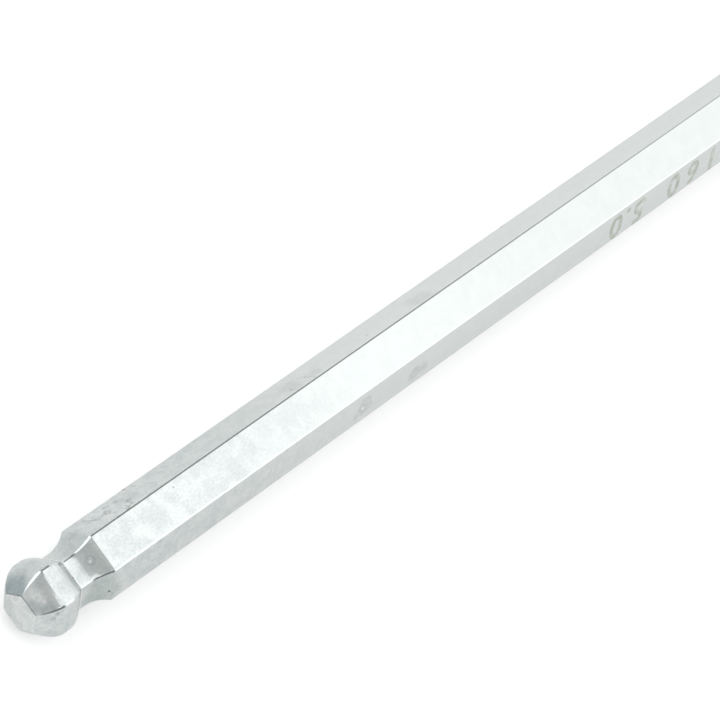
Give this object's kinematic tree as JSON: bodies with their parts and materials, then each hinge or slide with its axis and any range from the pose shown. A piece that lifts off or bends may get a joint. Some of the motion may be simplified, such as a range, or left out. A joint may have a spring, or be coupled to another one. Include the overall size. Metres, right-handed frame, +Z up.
{
  "type": "hex key",
  "caption": "L-shaped hex key of rounded hexagonal bar, with a waisted ball end on the long arm and a chamfered plain end on the short arm.",
  "frame": {"origin": "below the centre of the bounding box, on the surface that the key lies on", "axes": "+X along the long arm away from the ball end, +Y along the short arm towards its plain end, +Z up, normal to the flats that the key lies on"},
  "size_m": [0.16, 0.028, 0.005],
  "materials": {
    "key_steel": "satin chrome plating on steel"
  },
  "bodies": {
    "root": {"hex_key": "key_steel"}
  },
  "joints": []
}
